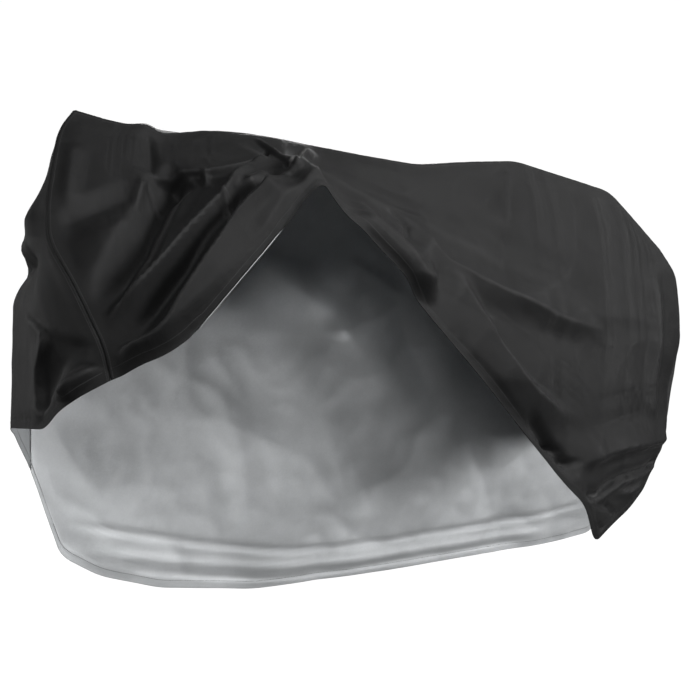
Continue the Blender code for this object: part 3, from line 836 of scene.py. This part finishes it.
FAR_FOLDS = (
    # The wide shoulder, and the creases that run down from it.
    Fold(((-0.700, 0.955), (-0.380, 0.985), (-0.040, 0.940)),
         0.240, 0.260, (0.050, 0.075, 0.050), 0.0, 0.0),
    Fold(((-0.400, 0.960), (-0.120, 0.780), (0.140, 0.500)),
         0.090, 0.110, (-0.010, -0.034, -0.014), 0.0, 0.3),
    Fold(((0.110, 1.000), (0.080, 0.820), (0.300, 0.460)),
         0.080, 0.100, (0.010, 0.028, 0.010), 0.0, 0.3),
    Fold(((-0.165, 0.745), (-0.010, 0.770), (0.130, 0.835)),
         0.050, 0.030, (0.006, 0.014, 0.006), 0.0, 0.8),
    Fold(((-0.105, 0.940), (0.000, 0.890), (0.120, 0.835)),
         0.030, 0.040, (-0.006, -0.012, -0.006), 0.0, 0.8),
    Fold(((-0.085, 0.560), (-0.020, 0.400), (0.080, 0.220)),
         0.080, 0.060, (0.006, 0.018, 0.010), 0.0, 0.4),
    Fold(((-0.420, 0.640), (-0.330, 0.420), (-0.300, 0.200)),
         0.070, 0.070, (0.004, 0.012, 0.006), 0.0, 0.3),
    Fold(((0.300, 0.520), (0.420, 0.340), (0.500, 0.190)),
         0.080, 0.060, (0.004, 0.014, 0.006), 0.0, 0.4),
    # The ripples along the hem.
    Fold(((-0.800, 0.290), (-0.350, 0.180), (0.000, 0.145), (0.600, 0.175), (0.900, 0.230)),
         0.020, 0.012, (0.005, 0.008, 0.005), 0.0, 0.7, 1.0, (0.1, 0.1)),
    Fold(((-0.740, 0.210), (-0.300, 0.120), (0.100, 0.105), (0.740, 0.130)),
         0.022, 0.016, (-0.004, -0.007, -0.004), 0.0, 0.5, 1.0, (0.1, 0.1)),
    Fold(((-0.660, 0.160), (-0.280, 0.085), (0.120, 0.080), (0.700, 0.105)),
         0.014, 0.012, (0.003, 0.006, 0.003), 0.0, 0.4, 1.0, (0.1, 0.1)),
)
FAR_CELLS_ALONG = 200
FAR_CELLS_DOWN = 130
FAR_CRUSH_HEIGHT = 0.0055

far_grid = patch(
    rounded(FAR_SEAM_TOP),
    rounded(FAR_HEM),
    rounded(FAR_SEAM_FRONT),
    rounded(FAR_SEAM_REAR),
    FAR_CELLS_ALONG,
    FAR_CELLS_DOWN,
)
far_cloth = folded(far_grid, 1, FAR_FOLDS, (0, 2), seed=11, crush=FAR_CRUSH_HEIGHT)
far_side = sheet_of_cloth("far_side_cloth", far_cloth, 1)
declare(far_side, sewn("far_side_stitching", far_cloth), "far_side_panel")

# ------------------------------------------------------------------------------------ Top strip
# The part of the gusset that runs over the top, from the front end to the rear end. It is a strip
# of the same cloth, seamed on all four edges, and it sags a little in its middle.

FRONT_TOP_EDGE = (
    (-0.836, -0.115, 1.164),
    (-0.814, 0.000, 1.186),
    (-0.800, 0.120, 1.170),
)
REAR_TOP_EDGE = (
    (0.735, -0.115, 0.976),
    (0.775, 0.000, 0.998),
    (0.800, 0.120, 0.980),
)
TOP_FOLDS = (
    # The sag along the middle, and three slack waves across it.
    Fold(((-0.400, 0.000), (-0.080, 0.000), (0.230, 0.000)),
         0.110, 0.110, (-0.010, -0.016, -0.010), 0.0, 0.0),
    Fold(((-0.700, -0.090), (-0.620, -0.010), (-0.500, 0.060)),
         0.040, 0.050, (0.003, 0.008, 0.003), 0.0, 0.5),
    Fold(((-0.180, -0.080), (-0.060, 0.000), (0.020, 0.090)),
         0.050, 0.050, (0.002, 0.006, 0.002), 0.0, 0.5),
    Fold(((0.420, -0.090), (0.520, 0.000), (0.560, 0.090)),
         0.050, 0.050, (0.003, 0.008, 0.003), 0.0, 0.5),
)
TOP_CELLS_ALONG = 220
TOP_CELLS_ACROSS = 40

top_grid = patch(
    rounded(FAR_SEAM_TOP),
    rounded(NEAR_SEAM_TOP),
    rounded(FRONT_TOP_EDGE)[::-1],
    rounded(REAR_TOP_EDGE)[::-1],
    TOP_CELLS_ALONG,
    TOP_CELLS_ACROSS,
)
top_cloth = folded(top_grid, -1, TOP_FOLDS, (0, 1), "top bottom left right", seed=21)
top_strip = sheet_of_cloth("top_cloth", top_cloth, -1)
declare(top_strip, sewn("top_stitching", top_cloth, hems=""), "top_strip")

# ------------------------------------------------------------------------------------ Front end
# The part of the gusset that comes down at the front to its own hem, in the same cloth. It is
# pulled in at half its height, and has one crisp crease beside the near seam.

FRONT_HEM = (
    (-0.809, -0.300, 0.646),
    (-0.886, -0.270, 0.599),
    (-0.905, -0.205, 0.556),
    (-0.934, 0.030, 0.542),
    (-0.905, 0.180, 0.515),
    (-0.860, 0.270, 0.427),
)
FRONT_FOLDS = (
    # The front end is drawn in under its top, and again at half its height.
    Fold(((-0.160, 1.010), (0.000, 1.010), (0.160, 1.000)),
         0.150, 0.150, (-0.024, -0.034, -0.024), 0.0, 0.0),
    Fold(((-0.240, 0.860), (-0.050, 0.865), (0.200, 0.875)),
         0.045, 0.085, (-0.020, -0.044, -0.030), 0.0, 0.5, 1.0, (0.15, 0.2)),
    # The crease down to the hem's corner, with the hollow behind it.
    Fold(((-0.095, 0.775), (-0.190, 0.745), (-0.225, 0.720), (-0.195, 0.670), (-0.180, 0.615),
          (-0.195, 0.570)),
         0.085, 0.014, (0.004, 0.012, 0.010), -0.006, 0.8, 1.0, (0.3, 0.05)),
    Fold(((-0.285, 0.725), (-0.270, 0.700), (-0.245, 0.660), (-0.210, 0.620), (-0.220, 0.590)),
         0.050, 0.030, (-0.008, -0.018, -0.014), 0.0, 0.2, 1.0, (0.15, 0.1)),
    # The loop in which the hem rolls up beside the near seam.
    Fold(((-0.295, 0.675), (-0.290, 0.665), (-0.275, 0.640), (-0.265, 0.610)),
         0.018, 0.034, (0.024, 0.034, 0.028), 0.010, 0.4, 1.0, (0.15, 0.2)),
    Fold(((-0.150, 1.100), (-0.120, 1.000), (-0.180, 0.900)),
         0.020, 0.030, (0.004, 0.010, 0.006), 0.0, 0.5),
)
FRONT_CELLS_ACROSS = 80
FRONT_CELLS_DOWN = 120

front_grid = patch(
    rounded(FRONT_TOP_EDGE),
    rounded(FRONT_HEM),
    rounded(NEAR_SEAM_FRONT),
    rounded(FAR_SEAM_FRONT),
    FRONT_CELLS_ACROSS,
    FRONT_CELLS_DOWN,
)
front_cloth = folded(front_grid, 1, FRONT_FOLDS, (1, 2), seed=31)
front_end = sheet_of_cloth("front_end_cloth", front_cloth, 1)
declare(front_end, sewn("front_end_stitching", front_cloth), "front_end_panel")

# ------------------------------------------------------------------------------------- Rear end
# The part of the gusset that comes down at the rear to its own hem, in the same cloth. It bulges
# in its middle, and is drawn in a little above the hem.

REAR_HEM = (
    (0.707, -0.130, 0.409),
    (0.800, -0.060, 0.420),
    (0.900, 0.080, 0.400),
    (0.925, 0.210, 0.330),
)
REAR_FOLDS = (
    # The bulge down the middle, the drawn-in line above the hem, and one slack wave.
    Fold(((0.020, 0.960), (0.030, 0.700), (0.050, 0.420)),
         0.110, 0.110, (0.020, 0.030, 0.016), 0.0, 0.0),
    Fold(((-0.100, 0.470), (0.040, 0.455), (0.180, 0.400)),
         0.020, 0.024, (-0.006, -0.012, -0.006), 0.0, 0.5),
    Fold(((0.000, 0.800), (0.060, 0.700), (0.140, 0.640)),
         0.040, 0.050, (0.004, 0.010, 0.004), 0.0, 0.5),
)
REAR_CELLS_ACROSS = 60
REAR_CELLS_DOWN = 100

rear_grid = patch(
    rounded(REAR_TOP_EDGE),
    rounded(REAR_HEM),
    rounded(NEAR_SEAM_REAR),
    rounded(FAR_SEAM_REAR),
    REAR_CELLS_ACROSS,
    REAR_CELLS_DOWN,
)
rear_cloth = folded(rear_grid, -1, REAR_FOLDS, (1, 2), seed=41)
rear_end = sheet_of_cloth("rear_end_cloth", rear_cloth, -1)
declare(rear_end, sewn("rear_end_stitching", rear_cloth), "rear_end_panel")

# ------------------------------------------------------------------- Floor, light and camera
# A pale studio floor that turns up into the wall, soft light from above and the front, and a level
# camera that looks at the cover from its near side, a little from the front.

GROUND = -CARRIED_HEIGHT
CAMERA_PLACE = (-1.182, -1.902, 0.700 - CARRIED_HEIGHT)
CAMERA_AZIMUTH = math.radians(28.0)
LENS_LENGTH = 46.29
SENSOR_WIDTH = 36.0
SWEEP_NEAR = -4.0
SWEEP_TURN = 3.5
SWEEP_RADIUS = 1.5
SWEEP_STEPS = 12
SWEEP_TOP = 7.0
SWEEP_HALF_WIDTH = 8.0

sweep_profile = [(SWEEP_NEAR, 0.0), (SWEEP_TURN, 0.0)]
for step in range(1, SWEEP_STEPS + 1):
    turn = step / SWEEP_STEPS * math.pi / 2
    away = SWEEP_TURN + SWEEP_RADIUS * math.sin(turn)
    sweep_profile.append((away, SWEEP_RADIUS * (1 - math.cos(turn))))
sweep_profile.append((SWEEP_TURN + SWEEP_RADIUS, SWEEP_TOP))
forward = Vector((math.sin(CAMERA_AZIMUTH), math.cos(CAMERA_AZIMUTH), 0.0))
rightward = Vector((math.cos(CAMERA_AZIMUTH), -math.sin(CAMERA_AZIMUTH), 0.0))
sweep_points = []
for away, height in sweep_profile:
    for aside in (-SWEEP_HALF_WIDTH, SWEEP_HALF_WIDTH):
        place = forward * away + rightward * aside
        sweep_points.append((place.x, place.y, GROUND + height))
sweep_faces = [(2 * n, 2 * n + 1, 2 * n + 3, 2 * n + 2) for n in range(len(sweep_profile) - 1)]
sweep_mesh = bpy.data.meshes.new("studio_sweep")
sweep_mesh.from_pydata(sweep_points, [], sweep_faces)
sweep_mesh.shade_smooth()
sweep = bpy.data.objects.new("studio_sweep", sweep_mesh)
bpy.context.scene.collection.objects.link(sweep)
sweep.visible_diffuse = False
sweep.visible_glossy = False
# The paper is seen as plain white, and neither lights the cloth nor shows in its shine.
paper = bpy.data.materials.new("studio_paper")
paper.use_nodes = True
paper_shader = paper.node_tree.nodes["Principled BSDF"]
paper_shader.inputs["Base Color"].default_value = (0.12, 0.12, 0.12, 1.0)
paper_shader.inputs["Roughness"].default_value = 0.9
paper_shader.inputs["Specular IOR Level"].default_value = 0.0
paper_shader.inputs["Emission Color"].default_value = (1.0, 1.0, 1.0, 1.0)
paper_shader.inputs["Emission Strength"].default_value = 1.0
sweep_mesh.materials.append(paper)


def soft_light(name, place, target, size, watts):
    """One softbox that looks at the target."""
    lamp = bpy.data.lights.new(name, "AREA")
    lamp.shape = "RECTANGLE"
    lamp.size, lamp.size_y = size
    lamp.energy = watts
    holder = bpy.data.objects.new(name, lamp)
    holder.location = place
    holder.rotation_euler = (Vector(target) - Vector(place)).to_track_quat("-Z", "Y").to_euler()
    bpy.context.scene.collection.objects.link(holder)


# Each lamp's name, its place, what it looks at, its width and height, and its watts.
soft_light("key_softbox", (2.3, -3.0, 1.5), (0.0, -0.2, -0.3), (1.2, 1.0), 142.0)
soft_light("fill_softbox", (-2.0, -3.0, 0.5), (-0.3, -0.2, -0.4), (1.4, 1.4), 46.0)
soft_light("overhead_softbox", (0.7, -0.6, 1.7), (0.1, -0.1, -0.3), (1.8, 0.9), 9.0)
soft_light("side_softbox", (-3.0, 1.1, 0.0), (-0.8, 0.0, -0.3), (1.2, 1.2), 15.0)
soft_light("rim_softbox", (0.4, 2.6, 1.2), (0.0, 0.0, 0.0), (3.0, 0.8), 60.0)
soft_light("low_softbox", (1.6, -2.2, -0.75), (0.4, 0.3, -0.95), (1.4, 0.35), 44.0)
soft_light("inside_softbox", (-1.8, -3.3, 0.7), (-0.15, 0.3, -0.72), (2.0, 0.8), 76.0)

# The fill is flagged off the silver inside, and the two lamps for the inside off the black outside:
# each group's name, its pieces and its lamps.
LIT_ONLY = (
    ("lit_outside", ("near_side", "front_end", "top"), ("fill_softbox",)),
    ("lit_inside", ("far_side", "rear_end"), ("low_softbox", "inside_softbox")),
)
for group, pieces, lamps in LIT_ONLY:
    lit = bpy.data.collections.new(group)
    for piece in pieces:
        lit.objects.link(bpy.data.objects[piece + "_cloth"])
        lit.objects.link(bpy.data.objects[piece + "_stitching"])
    for lamp in lamps:
        bpy.data.objects[lamp].light_linking.receiver_collection = lit

# The air lights the cloth faintly, and the camera sees it as plain white.
AIR_LIGHT = 0.05
AIR_SEEN = 1.0
world = bpy.data.worlds.new("studio_air")
world.use_nodes = True
air = world.node_tree
air.nodes["Background"].inputs["Strength"].default_value = AIR_LIGHT
seen_air = air.nodes.new("ShaderNodeBackground")
seen_air.inputs["Strength"].default_value = AIR_SEEN
for background in (air.nodes["Background"], seen_air):
    background.inputs["Color"].default_value = (1.0, 1.0, 1.0, 1.0)
path = air.nodes.new("ShaderNodeLightPath")
mixed = air.nodes.new("ShaderNodeMixShader")
air.links.new(path.outputs["Is Camera Ray"], mixed.inputs[0])
air.links.new(air.nodes["Background"].outputs[0], mixed.inputs[1])
air.links.new(seen_air.outputs[0], mixed.inputs[2])
air.links.new(mixed.outputs[0], air.nodes["World Output"].inputs["Surface"])
bpy.context.scene.world = world
bpy.context.scene.view_settings.view_transform = "Standard"

camera = bpy.data.objects.new("camera", bpy.data.cameras.new("camera"))
camera.data.sensor_width = SENSOR_WIDTH
camera.data.lens = LENS_LENGTH
camera.location = CAMERA_PLACE
camera.rotation_euler = (math.radians(90.0), 0.0, -CAMERA_AZIMUTH)
bpy.context.scene.collection.objects.link(camera)
bpy.context.scene.camera = camera
